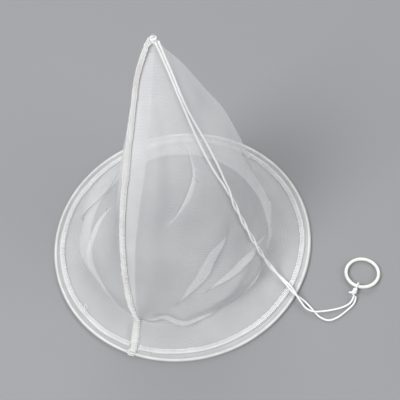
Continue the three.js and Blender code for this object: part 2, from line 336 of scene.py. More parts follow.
def end_finish(material, height=None, depth=1.0, distance=MM, **sockets):
    """Sets the shader's sockets by name, and a bump where there is one."""
    tree = material.node_tree
    shader = tree.nodes["Principled BSDF"]
    for name, value in sockets.items():
        socket = shader.inputs[name.replace("_", " ").title()]
        if isinstance(value, Shade):
            tree.links.new(value.socket, socket)
        else:
            socket.default_value = value
    if height is not None:
        inputs = {"Height": height, "Strength": depth, "Distance": distance}
        bump = height.node("ShaderNodeBump", (), inputs)
        tree.links.new(bump.socket, shader.inputs["Normal"])
    return material


def cord_finish():
    material, place = begin_finish("soft white cord")
    fibre = place.node("ShaderNodeTexNoise", (), {"Vector": place, "Scale": 1400, "Detail": 4})
    soil = place.node("ShaderNodeTexNoise", (), {"Vector": place, "Scale": 45, "Detail": 2})
    fresh = soil.within(0.35, 0.7).blend(CORD_SOILED, CORD_PALE)
    # painted shade in the dips of the fibre bump, laid over the soiled and pale tone
    colour = fibre.within(0.3, 0.62).blend(CORD_GROOVE_SHADE, fresh)
    return end_finish(
        material, height=fibre, depth=0.5, distance=0.15 * MM, base_color=colour,
        roughness=0.78 + 0.15 * fibre, sheen_weight=0.35, sheen_roughness=0.5,
    )


cord_material = cord_finish()


def twisted_strands():
    """Both strands' lines: side by side under the tip, then apart, then wound round each other."""
    lines = [smooth_route(np.array(points) * MM, CORD_STEP) for points in (STRAND_LEFT, STRAND_RIGHT)]
    count = min(len(line) for line in lines)
    lines = [
        at_marks(line, np.arange(len(line)), np.linspace(0, len(line) - 1, count)) for line in lines
    ]
    half = (lines[1] - lines[0]) / 2
    middle = (lines[0] + lines[1]) / 2
    along = run_lengths(middle) / MM
    near = np.interp(along, *zip(*NEARNESS))
    turn = 2 * math.pi * TWISTS * np.clip((along - TWIST_START) / (TWIST_END - TWIST_START), 0, 1)
    wound = near * (along > UPPER_PART)
    touching = unit(half) * ((BESIDE + BESIDE_WOUND * wound) * np.cos(turn))[:, None]
    touching += OFF_THE_CLOTH * (OVER * np.sin(turn))[:, None]
    offset = half * (1 - near[:, None]) + touching * (CORD_WIDTH * near)[:, None]
    middle += OFF_THE_CLOTH * (WOUND_RISE * wound)[:, None]
    return middle - offset, middle + offset


def lay_strand(name, line):
    rings = twisted_cord(line, CORD_WIDTH, PLY_TURN)
    strand = make_piece(name, rings, tube_faces(len(line), CORD_SIDES), cord_material)
    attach(strand, "root")
    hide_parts(name.removesuffix("_plies"))
    length = float(np.linalg.norm(np.diff(line, axis=0), axis=1).sum())
    return strand, line, length

strands = [
    lay_strand(name, line)
    for name, line in zip(("cord_left_plies", "cord_right_plies"), twisted_strands())
]

# Mesh cone
# One piece of fine woven nylon monofilament, rolled into a cone, with its lower edge turned in round the
# hoop. It isn't drawn out: the lower part lies flat in the hoop, turns up at a crease and bulges.
HOOP_RADIUS = 125 * MM
WIRE_WIDTH = 2.5 * MM
CLOTH_GAP = 0.3 * MM
CLOTH_HALF = 0.25 * MM
WIRE_CLEARANCE = 0.8 * MM
WIRE_LEVEL = WIRE_CLEARANCE + WIRE_WIDTH / 2
TURN_RADIUS = WIRE_WIDTH / 2 + CLOTH_GAP + CLOTH_HALF
WIRE_LINE = HOOP_RADIUS - CLOTH_HALF - TURN_RADIUS
# where the turn round the wire starts and how far it goes, in half turns
TURN_FROM = 0.7
TURN_THROUGH = 1.2
BRIM_LEVEL = 1.14 * MM
CASING_WIDTH = 9.3 * MM
CASING_FRONT_WIDTH = 11.5 * MM
# where the casing is widest and how far that spreads to each side, in degrees
WIDE_CASING_BEARING = 285
WIDE_CASING_SPREAD = 48
CASING_RAMP = 1.6 * MM
BRIM_SWELL = 1.3 * MM
# in radians to each side of the seam, where the brim lies flat
BRIM_FLAT = 0.06
# section and width of the seam allowance in mm
ALLOWANCE = np.array([(0, 3), (2, 6), (4, 12), (6, 15), (8, 15), (10, 13), (11.5, 5), (12, 2)])
ALLOWANCE_RIBS = 7
# in radians, how far round the cone's pattern the allowance reaches
ALLOWANCE_PATTERN = 0.1
ALLOWANCE_LEAST = 0.2 * MM
# depth inside the wall and how much narrower it is, for each of the two layers
ALLOWANCE_LAYERS = ((0.8 * MM, 0), (1.4 * MM, 0.8 * MM))
# near the tip a bearing or an inward step is worked out as if the wall were at least this far out
LEAST_REACH = 6 * MM
LEAST_INWARD = 2 * MM
TIP_HEIGHT = 269.5
TIE_ROW = 11.6
# the share by which the tie narrows the cloth, and over how many rows
TIE_PINCH = 0.5
TIE_PINCH_ROWS = 0.13
# in radians: how far to each side the seam draws the wall out
SEAM_RIDGE = 0.42
# small waves of the wall: their height in mm, and the rows over which they fade
CRUMPLE = 0.5
CRUMPLE_FADE = 4
# ribs round the cloth, and rows of its wall, its brim and its turn round the wire
RIBS = 360
WALL_ROWS = 210
BRIM_ROWS = 28
TURN_ROWS = 10
THREAD_PITCH = 1.15 * MM
# how much the cloth covers, between its threads and on them
CLOTH_THIN = 0.24
CLOTH_THICK = 0.5
# what clouds and the drawn-out upper wall add to the cover, how many times the latter the gathered tip
# adds, and the heights over which these come in, in metres
CLOUD_COVER = 0.06
DRAWN_COVER = 0.13
GATHERED = 4
DRAWN_HEIGHTS = (0.07, 0.2)
GATHERED_HEIGHTS = (0.256, 0.266)
CLOTH_COLOUR = (0.88, 0.88, 0.885)
CLOTH_SHADE = (0.81, 0.81, 0.82)
# height, centre x, centre y, reach to the right, back, left and front, seam x, seam y
SECTIONS = np.array([
    (0, -2, 8, 87, 92, 86, 93, -52, -73),
    (8, -2, 8, 89, 92, 90, 94, -53, -72.5),
    (22, -1, 8, 89, 88, 92, 92, -54.5, -67),
    (42, 3, 9, 81, 78, 86, 82, -54, -58),
    (66, 8, 11, 70, 71, 66, 73, -51.5, -48.5),
    (95, 12, 15, 60, 61, 54, 62, -47, -38),
    (128, 15, 18, 52, 50, 47, 52, -40, -28),
    (160, 15, 20, 43.5, 38, 39, 40, -31.5, -18.5),
    (188, 14, 22, 33, 26, 28, 30, -23, -6),
    (213, 12.5, 22, 26, 15, 20, 21, -14.5, 7),
    (236, 12, 25, 16, 7, 13, 13, -6.5, 18.5),
    (255, 11, 27.5, 5.4, 2.8, 5.4, 4.6, 3, 26),
    (TIP_HEIGHT, 11, 28, 0.8, 0.8, 0.8, 0.8, 10.2, 28),
])
LAST = len(SECTIONS) - 1
HEM_SEAM_BEARING = math.atan2(-105, -60)
# broad folds: bearing from the seam at foot and head, lowest and highest section, width and height,
# in degrees, sections and mm
FOLDS = [
    (8, 34, 0.5, 10, 7, 2.4),
    (-42, -60, 0.4, 5, 11, 4.5),
    (-88, -80, 0.2, 4.5, 12, 3.5),
    (24, 84, 1.6, 5, 9, -2),
    (40, 108, 1.4, 3.8, 9, 2.4),
    (122, 150, 0.3, 6.5, 10, 3.2),
    (164, 170, 0.3, 4, 11, 3.5),
    (206, 196, 0.3, 5, 12, 4),
    (238, 226, 0.3, 4.5, 11, 3),
    (88, 96, 1.2, 4.2, 2.8, -1.6),
    (104, 116, 0.8, 3.8, 2.4, 1.6),
    (178, 176, 0.4, 5, 3.4, 2.2),
    (190, 184, 0.5, 4, 3, -2),
    (216, 208, 0.3, 5.2, 3.2, 2.4),
    (250, 240, 0.3, 4, 3, -2.2),
    (134, 150, 1.8, 6.8, 20, -1.8),
    (14, 20, 0, 1.8, 5, -3.5),
    (30, 27, 0, 2.2, 5, 3.5),
    (52, 56, 0, 2, 7, -3),
    (74, 78, 0, 2.2, 7, 2.5),
]
# places along a crease as section and bearing in degrees, then its width, how far the cloth doubles over
# it and its height, all in mm
CREASES = [
    ([(4.8, 82), (4.37, 74), (4.02, 60), (3.41, 50), (2.96, 40), (2.51, 32), (2.1, 24)], 9, 25, 3),
    ([(2.2, 112), (2.51, 105), (2.91, 93), (3.01, 78), (2.91, 70), (2.76, 57), (2.41, 45), (2, 36)],
     7, 17, 2.4),
    ([(8, 66), (7.48, 63), (6.68, 61), (5.72, 41), (5.47, 33), (5.3, 24)], 9, 20, -2.8),
    ([(6.8, 124), (5.82, 132), (4.9, 143), (4.37, 149), (3.4, 147), (2.4, 143), (1.4, 138)], 9, 18, -3),
    ([(3.4, 128), (2.86, 125), (2.2, 128), (1.4, 124)], 5, 10, 2),
    ([(6, -66), (4.6, -63), (3.6, -60), (2.9, -61), (2.1, -68), (1.2, -72), (0.5, -60)], 10, 19, 3.6),
    ([(4.6, -36), (3.8, -44), (3.1, -38), (2.3, -36), (1.5, -30)], 5, 12, -2.6),
    ([(0.5, 4), (0.9, 10), (0.95, 17), (0.7, 25), (0.45, 33), (0.5, 42), (0.55, 50)], 6, 15, -4.4),
    ([(2.4, 190), (3.2, 200), (4.4, 206), (5.8, 200)], 7, 16, 2.6),
    ([(1.2, 230), (2.6, 238), (4.2, 236), (5.6, 244)], 6, 13, -2.4),
]
# how much cloth, in mm, a row of the table and a degree of bearing stand for on a crease
ROW_LENGTH = 25
DEGREE_LENGTH = 1.45
CREASE_STEP = 7


def section_at(row):
    low = np.clip(np.floor(row).astype(int), 0, LAST - 1)
    t = (row - low)[..., None]
    a, b, c, d = (SECTIONS[np.clip(low + k, 0, LAST)] for k in (-1, 0, 1, 2))
    bend = t**2 * (a - 2.5 * b + 2 * c - 0.5 * d) + 0.5 * t**3 * (3 * (b - c) + d - a)
    return b + 0.5 * t * (c - a) + bend


def oval_reach(section, bearing):
    cosine, sine = np.cos(bearing), np.sin(bearing)
    across = cosine / np.where(cosine > 0, section[..., 3], section[..., 5])
    along = sine / np.where(sine > 0, section[..., 4], section[..., 6])
    return 1 / np.hypot(across, along)


def turn_between(a, b):
    return (a - b + np.pi) % (2 * np.pi) - np.pi


CREASE_LINES = [
    (smooth_route(np.array(stops) * (ROW_LENGTH, DEGREE_LENGTH), CREASE_STEP), width, overlap, height)
    for stops, width, overlap, height in CREASES
]


def crease_part(place, stops):
    """How far each place lies to the side of a crease, the way across, and how far along it is."""
    nearest = np.full(place.shape[:-1], np.inf)
    side, along = np.zeros_like(nearest), np.zeros_like(nearest)
    across = np.zeros_like(place)
    lengths = np.linalg.norm(np.diff(stops, axis=0), axis=1)
    before = np.concatenate([[0], np.cumsum(lengths)])
    for start, end, length, passed in zip(stops, stops[1:], lengths, before):
        run = (end - start) / length
        part = np.clip(((place - start) * run).sum(axis=-1), 0, length)
        away = place - start - part[..., None] * run
        distance = np.linalg.norm(away, axis=-1)
        left = np.array([-run[1], run[0]])
        closer = distance < nearest
        nearest = np.where(closer, distance, nearest)
        side = np.where(closer, np.where((away * left).sum(axis=-1) < 0, -distance, distance), side)
        along = np.where(closer, (passed + part) / before[-1], along)
        across = np.where(closer[..., None], left, across)
    return side, across, np.sin(np.pi * along)


def creased(bearing, row):
    """Where each place moves as the cloth doubles over its creases, and how much it lifts, in mm."""
    degrees = np.degrees(bearing)
    half_turn = 180 * DEGREE_LENGTH
    scale = (ROW_LENGTH, DEGREE_LENGTH)
    moved, lift = np.zeros((*bearing.shape, 2)), 0 * bearing
    for stops, width, overlap, height in CREASE_LINES:
        middle = stops[:, 1].mean()
        around = (degrees * DEGREE_LENGTH - middle + half_turn) % (2 * half_turn) - half_turn + middle
        place = np.stack([row * ROW_LENGTH, around], axis=-1)
        side, across, strength = crease_part(place, stops)
        off = side / width
        pull = overlap * off * np.exp(-off * off) * strength
        moved -= across * pull[..., None] / scale
        lift += height * off * np.exp(-0.6 * off * off) * strength
    return bearing + np.radians(moved[..., 1]), np.clip(row + moved[..., 0], 0, LAST), lift


def wall_point(bearing, row):
    """A point of the standing cloth at a bearing from the seam and a row of the table, in metres."""
    bearing, row, lift = creased(bearing, row)
    section = section_at(row)
    seam_x, seam_y = section[..., 7] - section[..., 1], section[..., 8] - section[..., 2]
    seam_bearing = np.arctan2(seam_y, seam_x)
    ridge = np.hypot(seam_x, seam_y) / oval_reach(section, seam_bearing) - 1
    off = turn_between(bearing, 0) / SEAM_RIDGE
    at = seam_bearing + bearing
    reach = oval_reach(section, at) * (1 + ridge * np.exp(-off * off)) + lift
    for foot, head, low, high, width, height in FOLDS:
        along = np.clip((row - low) / (high - low), 0, 1)
        off = turn_between(bearing, np.radians(foot + (head - foot) * along)) / math.radians(width)
        reach = reach + height * np.sin(np.pi * along) * np.exp(-off * off)
    waves = np.sin(9 * bearing + 2.3 * row) * np.sin(5 * bearing - 1.7 * row + 1)
    reach = reach + CRUMPLE * waves * np.exp(-row / CRUMPLE_FADE)
    reach = reach * (1 - TIE_PINCH * np.exp(-((row - TIE_ROW) / TIE_PINCH_ROWS) ** 2))
    height = BRIM_LEVEL + section[..., 0] * MM * (1 - BRIM_LEVEL / (TIP_HEIGHT * MM))
    spot = (section[..., 1] + reach * np.cos(at), section[..., 2] + reach * np.sin(at))
    return np.stack([spot[0] * MM, spot[1] * MM, height], axis=-1)


def hem_point(bearing, radius, level):
    at = HEM_SEAM_BEARING + bearing
    return np.stack([radius * np.cos(at), radius * np.sin(at), level + 0 * at], axis=-1)


def casing_edge(bearing):
    """The radius of the casing's sewn edge, which is wider at the front."""
    widest = math.radians(WIDE_CASING_BEARING)
    off = turn_between(HEM_SEAM_BEARING + bearing, widest) / math.radians(WIDE_CASING_SPREAD)
    return HOOP_RADIUS - CASING_WIDTH - (CASING_FRONT_WIDTH - CASING_WIDTH) * np.exp(-off * off)


def cloth_rows(bearing):
    """Rows of the cloth from the tip down: wall, brim, round the wire and back under."""
    rows = [wall_point(bearing, LAST * (1 - i / WALL_ROWS) + 0 * bearing) for i in range(WALL_ROWS + 1)]
    wall_foot = rows[-1]
    ramp_foot = hem_point(bearing, WIRE_LINE - TURN_RADIUS - CASING_RAMP, BRIM_LEVEL)
    for i in range(1, BRIM_ROWS + 1):
        part = i / BRIM_ROWS
        row = wall_foot * (1 - part) + ramp_foot * part
        waves = 1 + np.sin(7 * bearing + 3 * part) * np.cos(4 * bearing + 1)
        swell = np.sin(np.pi * part) ** 2 * waves
        row[..., 2] += BRIM_SWELL * swell * (np.abs(turn_between(bearing, 0)) > BRIM_FLAT)
        rows.append(row)
    for i in range(TURN_ROWS + 1):
        turn = math.pi * (TURN_FROM - TURN_THROUGH * i / TURN_ROWS)
        radius = WIRE_LINE + TURN_RADIUS * math.cos(turn)
        rows.append(hem_point(bearing, radius, WIRE_LEVEL + TURN_RADIUS * math.sin(turn)))
    rows.append(hem_point(bearing, casing_edge(bearing), CLOTH_HALF))
    return np.array(rows)


def allowance_rows(depth, narrower):
    """The turned-in edge of the cloth beside the seam, lying inside the wall."""
    at = np.linspace(0, LAST, WALL_ROWS)[::-1]
    widths = np.interp(at, ALLOWANCE[:, 0], ALLOWANCE[:, 1]) * MM - narrower
    rows = []
    for row, width in zip(at, widths):
        middle = section_at(np.array(row))[1:3] * MM
        reach = np.linalg.norm(wall_point(np.array([0.0]), np.array([row]))[0, :2] - middle)
        widest = max(width, ALLOWANCE_LEAST) / max(reach, LEAST_REACH)
        line = wall_point(np.linspace(0, widest, ALLOWANCE_RIBS), np.full(ALLOWANCE_RIBS, row))
        inward = np.append(middle, 0) - line * (1, 1, 0)
        distance = np.linalg.norm(inward, axis=1, keepdims=True)
        rows.append(line + inward / np.maximum(distance, LEAST_INWARD) * depth)
    return np.array(rows)


def cloth_pattern(rows, bearings):
    """Where each point lies on the flat cloth, in metres: round the cone and down its slant."""
    steps = np.linalg.norm(np.diff(rows, axis=0), axis=2).mean(axis=1)
    down = np.concatenate([[0], np.cumsum(steps)])
    across = np.outer(np.ones(len(rows)), bearings * HOOP_RADIUS)
    return np.stack([across, down[:, None] + 0 * across], axis=-1)


def cloth_finish():
    material, place = begin_finish("fine nylon mesh")
    pattern = place.node("ShaderNodeTexCoord", output="UV")
    across = pattern.node("ShaderNodeSeparateXYZ", (), {0: pattern})
    down = across.output(1)
    weft = (across * (2 * math.pi / THREAD_PITCH)).sine() * 0.5 + 0.5
    warp = (down * (2 * math.pi / THREAD_PITCH)).sine() * 0.5 + 0.5
    threads = weft.sum("MAXIMUM", weft, warp)
    cloud = place.node("ShaderNodeTexNoise", (), {"Vector": place, "Scale": 22, "Detail": 3})
    level = place.node("ShaderNodeSeparateXYZ", (), {0: place}, 2)
    drawn = level.within(*DRAWN_HEIGHTS) + GATHERED * level.within(*GATHERED_HEIGHTS)
    cover = CLOTH_THIN + (CLOTH_THICK - CLOTH_THIN) * threads
    cover = cover + CLOUD_COVER * (cloud - 0.5) + DRAWN_COVER * drawn
    colour = cloud.within(0.3, 0.7).blend(CLOTH_SHADE, CLOTH_COLOUR)
    return end_finish(
        material, height=threads, depth=0.25, distance=0.1 * MM, base_color=colour, alpha=cover,
        roughness=0.42 + 0.1 * threads, sheen_weight=0.5, sheen_roughness=0.4,
    )


def mesh_cloth(name, rows, pattern, material, closed=True):
    count = rows.shape[1]
    faces, uv = [], []
    flat = pattern.reshape(-1, 2)
    around = pattern[:, -1] + (pattern[:, 1] - pattern[:, 0])
    for i in range(len(rows) - 1):
        for j in range(count if closed else count - 1):
            k = (j + 1) % count
            corners = (i * count + j, (i + 1) * count + j, (i + 1) * count + k, i * count + k)
            faces.append(corners)
            right = (around[i + 1], around[i]) if k == 0 else (flat[corners[2]], flat[corners[3]])
            uv += [flat[corners[0]], flat[corners[1]], *right]
    return make_piece(name, rows.reshape(-1, 3), faces, material, uv)


cloth_material = cloth_finish()
bearings = np.arange(RIBS) * 2 * np.pi / RIBS
cone_rows = cloth_rows(bearings)
cone_pattern = cloth_pattern(cone_rows, bearings)
mesh_cone = mesh_cloth("mesh_cone_cloth", cone_rows, cone_pattern, cloth_material)
allowances = []
for depth, narrower in ALLOWANCE_LAYERS:
    rows = allowance_rows(depth, narrower)
    pattern = cloth_pattern(rows, np.linspace(0, ALLOWANCE_PATTERN, ALLOWANCE_RIBS))
    allowances.append(mesh_cloth("allowance", rows, pattern, cloth_material, closed=False))
mesh_cone = join_pieces([mesh_cone, *allowances], "mesh_cone_cloth")
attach(mesh_cone, "root")
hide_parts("mesh_cone")

# Wire hoop
# A round of coated steel wire, its ends joined, threaded through the casing of the cloth.
WIRE_PALE = (0.84, 0.825, 0.795)
WIRE_WORN = (0.66, 0.64, 0.6)


def wire_finish():
    material, place = begin_finish("white coated wire")
    wear = place.node("ShaderNodeTexNoise", (), {"Vector": place, "Scale": 120, "Detail": 5})
    colour = wear.within(0.32, 0.6).blend(WIRE_WORN, WIRE_PALE)
    return end_finish(material, height=wear, depth=0.2, distance=0.1 * MM, base_color=colour,
                      roughness=0.3 + 0.2 * wear, coat_weight=0.3)


wire_material = wire_finish()


def ring_of_wire(name, centre, radius, width, material, steps=240, sides=14, tilt=None):
    """A closed round of wire, level or tilted about its centre."""
    rings = []
    for i in range(steps):
        around = 2 * math.pi * i / steps
        out = Vector((math.cos(around), math.sin(around), 0))
        for j in range(sides):
            turn = 2 * math.pi * j / sides
            spot = out * (radius + width / 2 * math.cos(turn))
            spot += Vector((0, 0, width / 2 * math.sin(turn)))
            rings.append(Vector(centre) + (tilt @ spot if tilt else spot))
    faces = []
    for i in range(steps):
        low, high = i * sides, (i + 1) % steps * sides
        for j in range(sides):
            k = (j + 1) % sides
            faces.append((low + j, high + j, high + k, low + k))
    return make_piece(name, rings, faces, material)


hoop = ring_of_wire("wire_hoop_round", (0, 0, WIRE_LEVEL), WIRE_LINE, WIRE_WIDTH, wire_material)
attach(hoop, "root")
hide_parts("wire_hoop")

# Hem stitching
# White overlock thread that closes the casing: slanted loops over the edge of the cloth, with a needle
# thread along them. It stops on each side of the seam.
HEM_INSET = 1.2 * MM
HEM_STOP = 2.2 * MM
HEM_LIFT = 0.5 * MM
HEM_WANDER = 0.35 * MM
HEM_STRIP_WIDTH = 3.8 * MM
STRIP_HEIGHT = 0.4 * MM
STRIP_SIDES = 8
HEM_WIDTH = 4.3 * MM
SEAM_WIDTH = 6.3 * MM
STITCH_PITCH = 1.7 * MM
THREAD_WIDTH = 0.5 * MM
# smallest and largest size of a stitch
STITCH_SIZES = (0.86, 1.12)
LOOSE_WIDTH = 0.36 * MM
LOOSE_TURN = 9 * MM
LOOSE_STEP = 0.4 * MM
# a loose loop of thread at the left and two cut ends by the seam, in mm
LOOSE_THREADS = [
    [(-101, -56.6, 2), (-98.6, -56.2, 3.4), (-97.2, -53.8, 4.2), (-98.3, -51.7, 4.1), (-99.9, -52.8, 3),
     (-99.6, -55.4, 2.6), (-100.6, -58.4, 2)],
    [(-46, -106.4, 2.2), (-45, -108.6, 2.6), (-45.6, -111.8, 1.9)],
    [(-40.8, -107, 2.2), (-40.3, -110, 2.8), (-41.4, -112.6, 2)],
]


def stitch_tree():
    """Instances one overlock stitch on each point of a path that knows its run and its outward side."""
    tree = bpy.data.node_groups.new("overlock stitches", "GeometryNodeTree")
    sockets = {}
    tree.interface.new_socket("Geometry", in_out="INPUT", socket_type="NodeSocketGeometry")
    for label, value in (("Width", HEM_WIDTH), ("Pitch", STITCH_PITCH), ("Thread", THREAD_WIDTH)):
        socket = tree.interface.new_socket(label, in_out="INPUT", socket_type="NodeSocketFloat")
        socket.default_value = value
        sockets[label] = socket
    socket = tree.interface.new_socket("Material", in_out="INPUT", socket_type="NodeSocketMaterial")
    sockets["Material"] = socket
    tree.interface.new_socket("Geometry", in_out="OUTPUT", socket_type="NodeSocketGeometry")
    start = Shade(tree, None)
    given = start.node("NodeGroupInput")
    given_at = {label: given.output(label) for label in sockets}
    width, pitch, thread = given_at["Width"], given_at["Pitch"], given_at["Thread"]

    def spot(x, y, z):
        return start.node("ShaderNodeCombineXYZ", (), {0: x, 1: y, 2: z})

    def arc(first, over, last):
        return start.node("GeometryNodeCurveQuadraticBezier", (),
                          {"Resolution": 5, "Start": first, "Middle": over, "End": last})

    top = thread * 1.9
    curves = [
        arc(spot(pitch * -0.5, width * -0.5, thread * 0.4), spot(0.0, 0.0, top * 1.3),
            spot(pitch * 0.1, width * 0.5, thread * 0.4)),
        arc(spot(pitch * 0.1, width * 0.5, thread * 0.4), spot(pitch * 0.4, 0.0, top),
            spot(pitch * 0.5, width * -0.5, thread * 0.4)),
        arc(spot(pitch * -0.6, width * 0.5, thread * 0.5), spot(0.0, width * 0.62, thread * 0.9),
            spot(pitch * 0.6, width * 0.5, thread * 0.5)),
        arc(spot(pitch * -0.6, width * -0.22, top * 0.75), spot(0.0, width * -0.2, top * 1.15),
            spot(pitch * 0.6, width * -0.22, top * 0.75)),
    ]
    joined = start.node("GeometryNodeJoinGeometry")
    for curve in curves:
        tree.links.new(curve.socket, joined.socket.node.inputs[0])
    section = {"Resolution": 6, "Radius": thread * 0.5}
    round_section = start.node("GeometryNodeCurvePrimitiveCircle", (), section)
    tube = {"Curve": joined, "Profile Curve": round_section, "Fill Caps": True}
    stitch = start.node("GeometryNodeCurveToMesh", (), tube)
    named = {}
    for label in ("run", "outward"):
        vector = {"data_type": "FLOAT_VECTOR"}
        named[label] = start.node("GeometryNodeInputNamedAttribute", vector, {"Name": label})
    turn = "FunctionNodeAlignRotationToVector"
    upright = start.node(turn, {"axis": "Z"}, {"Vector": named["outward"]})
    facing = {"Rotation": upright, "Vector": named["run"]}
    along = start.node(turn, {"axis": "X", "pivot_axis": "Z"}, facing)
    sizes = {2: STITCH_SIZES[0], 3: STITCH_SIZES[1], "Seed": 7}
    size = start.node("FunctionNodeRandomValue", {"data_type": "FLOAT"}, sizes, 1)
    points = start.node("GeometryNodeMeshToPoints", (), {"Mesh": given})
    placing = {"Points": points, "Instance": stitch, "Rotation": along, "Scale": size}
    placed = start.node("GeometryNodeInstanceOnPoints", (), placing)
    solid = start.node("GeometryNodeRealizeInstances", (), {"Geometry": placed})
    finish = {"Geometry": solid, "Material": given_at["Material"]}
    done = start.node("GeometryNodeSetMaterial", (), finish)
    last = tree.nodes.new("NodeGroupOutput")
    tree.links.new(done.socket, last.inputs[0])
    return tree, {label: socket.identifier for label, socket in sockets.items()}


overlock_tree, overlock_inputs = stitch_tree()


def sew(name, line, runs, outwards, width, material):
    """A plain mesh of overlock stitches along a line."""
    mesh = bpy.data.meshes.new(name + "_path")
    mesh.from_pydata([tuple(p) for p in line], [], [])
    for label, values in (("run", runs), ("outward", outwards)):
        attribute = mesh.attributes.new(label, "FLOAT_VECTOR", "POINT")
        attribute.data.foreach_set("vector", np.ravel(values))
    path = bpy.data.objects.new(name + "_path", mesh)
    bpy.context.collection.objects.link(path)
    sewing = path.modifiers.new("stitches", "NODES")
    sewing.node_group = overlock_tree
    sewing[overlock_inputs["Width"]] = width
    sewing[overlock_inputs["Material"]] = material
    made = bpy.data.meshes.new_from_object(path.evaluated_get(bpy.context.evaluated_depsgraph_get()))
    made.name = name
    made.polygons.foreach_set("use_smooth", [True] * len(made.polygons))
    bpy.data.objects.remove(path)
    piece = bpy.data.objects.new(name, made)
    bpy.context.collection.objects.link(piece)
    return piece


def thread_finish(name, light, dark):
    material, place = begin_finish(name)
    fibre = place.node("ShaderNodeTexNoise", (), {"Vector": place, "Scale": 900, "Detail": 3})
    patch = place.node("ShaderNodeTexNoise", (), {"Vector": place, "Scale": 60, "Detail": 2})
    colour = (fibre * 0.5 + patch * 0.5).within(0.3, 0.65).blend(dark, light)
    return end_finish(material, height=fibre, depth=0.4, distance=0.1 * MM, base_color=colour,
                      roughness=0.75 + 0.2 * fibre, sheen_weight=0.3)


hem_thread = thread_finish("white overlock thread", (0.94, 0.94, 0.935), (0.8, 0.8, 0.8))
seam_thread = thread_finish("off-white overlock thread", (0.94, 0.935, 0.92), (0.8, 0.795, 0.78))
# the cloth edges under the stitches are painted grey, far darker than the white nylon, as painted shade
# between the loops
turned_cloth_painted_shade = thread_finish("turned cloth edge painted shade", (0.5, 0.5, 0.51), (0.4, 0.4, 0.41))
seam_cloth_painted_shade = thread_finish("seam edge painted shade", (0.5, 0.495, 0.485), (0.4, 0.395, 0.385))


def folded_edge(name, line, across, outwards, width, height, material):
    """The flat strip of turned cloth that the stitches wrap."""
    rings = []
    for spot, side, out in zip(line, across, outwards):
        for j in range(STRIP_SIDES):
            turn = 2 * math.pi * j / STRIP_SIDES
            beside = side * (width / 2 * math.cos(turn))
            rings.append(spot + beside + out * (height / 2 * (1 + math.sin(turn))))
    return make_piece(name, rings, tube_faces(len(line), STRIP_SIDES), material)


hem_stop = (SEAM_WIDTH / 2 + HEM_STOP) / casing_edge(0)
hem_count = round(2 * np.pi * casing_edge(0) / STITCH_PITCH)
hem_bearings = np.linspace(hem_stop, 2 * np.pi - hem_stop, hem_count)
hem_wander = HEM_WANDER * np.sin(9 * hem_bearings) * np.sin(5 * hem_bearings + 1)
hem_radii = casing_edge(hem_bearings) + HEM_INSET + hem_wander
hem_path = hem_point(hem_bearings, hem_radii, BRIM_LEVEL + HEM_LIFT)
hem_runs = np.cross([0, 0, 1.0], hem_point(hem_bearings, 1, 0))
hem_ups = np.tile([0, 0, 1.0], (len(hem_path), 1))
hem_across = np.cross(hem_ups, hem_runs)
hem_strip = folded_edge(
    "hem_strip", hem_path, hem_across, hem_ups, HEM_STRIP_WIDTH, STRIP_HEIGHT, turned_cloth_painted_shade
)
hem_loops = sew("hem_loops", hem_path, hem_runs, hem_ups, HEM_WIDTH, hem_thread)
loose = []
for points in LOOSE_THREADS:
    line = smooth_route(np.array(points) * MM, LOOSE_STEP)
    rings = twisted_cord(line, LOOSE_WIDTH, LOOSE_TURN)
    loose.append(make_piece("loose", rings, tube_faces(len(line), CORD_SIDES), hem_thread))
hem = join_pieces([hem_strip, hem_loops, *loose], "hem_overlock")
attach(hem, "root")
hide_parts("hem_stitching")

# Side seam
# The two edges of the cloth overlocked together with off-white thread, from the tip down, over the brim
# and over the casing.
SEAM_START_ROW = 9
SEAM_END_ROW = 5
SEAM_STRIP_WIDTH = 5.9 * MM
# in radians to each side of the seam, where the lean of the cloth is measured, and how often that is
# evened out along the seam
SEAM_BESIDE = 0.06
SMOOTHINGS = 8


def seam_path():
    """Stitch places, run, outward side and side across, down the first rib of the cloth."""
    keep = slice(SEAM_START_ROW, -1 - SEAM_END_ROW)
    spots = (-SEAM_BESIDE, 0.0, SEAM_BESIDE)
    left, middle, right = (cloth_rows(np.array([bearing]))[keep, 0] for bearing in spots)
    along = run_lengths(middle)
    marks = np.linspace(0, along[-1], round(along[-1] / STITCH_PITCH) + 1)
    line = at_marks(middle, along, marks)
    runs = unit(np.gradient(line, axis=0))
    outs = unit(np.cross(runs, at_marks(right - left, along, marks)))
    for _ in range(SMOOTHINGS):
        outs[1:-1] = unit(outs[:-2] + outs[1:-1] + outs[2:])
    outs = unit(outs - runs * (outs * runs).sum(axis=1, keepdims=True))
    return line + outs * CLOTH_HALF, runs, outs, np.cross(outs, runs)


seam_line, seam_runs, seam_outs, seam_sides = seam_path()
seam_strip = folded_edge(
    "seam_strip", seam_line, seam_sides, seam_outs, SEAM_STRIP_WIDTH, STRIP_HEIGHT, seam_cloth_painted_shade
)
seam_loops = sew("seam_loops", seam_line, seam_runs, seam_outs, SEAM_WIDTH, seam_thread)
seam = join_pieces([seam_strip, seam_loops], "seam_overlock")
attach(seam, "root")
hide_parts("seam_stitching")

# Tip tie
# The cord is made fast at the tip: two turns of it lie round the pinched cloth. How the real one is fixed
# can't be seen, so this is a guess.
TIE_WIDTH = 1.5 * MM
TIE_GAP = 0.1 * MM
TIE_RISE = 1.2 * MM
TIE_POINTS = 73


def tie_round(row, rise):
    line = wall_point(np.linspace(0, 2 * np.pi, TIE_POINTS), np.full(TIE_POINTS, float(row)))
    out = line - line[:-1].mean(axis=0)
    out[:, 2] = 0
    line = line + unit(out) * (TIE_WIDTH / 2 + TIE_GAP)
    line[:, 2] += np.linspace(0, rise, TIE_POINTS)
    return line


tie_rounds = [tie_round(TIE_ROW, 0.0)[:-1], tie_round(TIE_ROW, TIE_RISE)]
tie_line = even_points(np.concatenate(tie_rounds), CORD_STEP)
tie = make_piece("tip_tie_plies", twisted_cord(tie_line, TIE_WIDTH, PLY_TURN),
                 tube_faces(len(tie_line), CORD_SIDES), cord_material)
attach(tie, "root")
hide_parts("tip_tie")

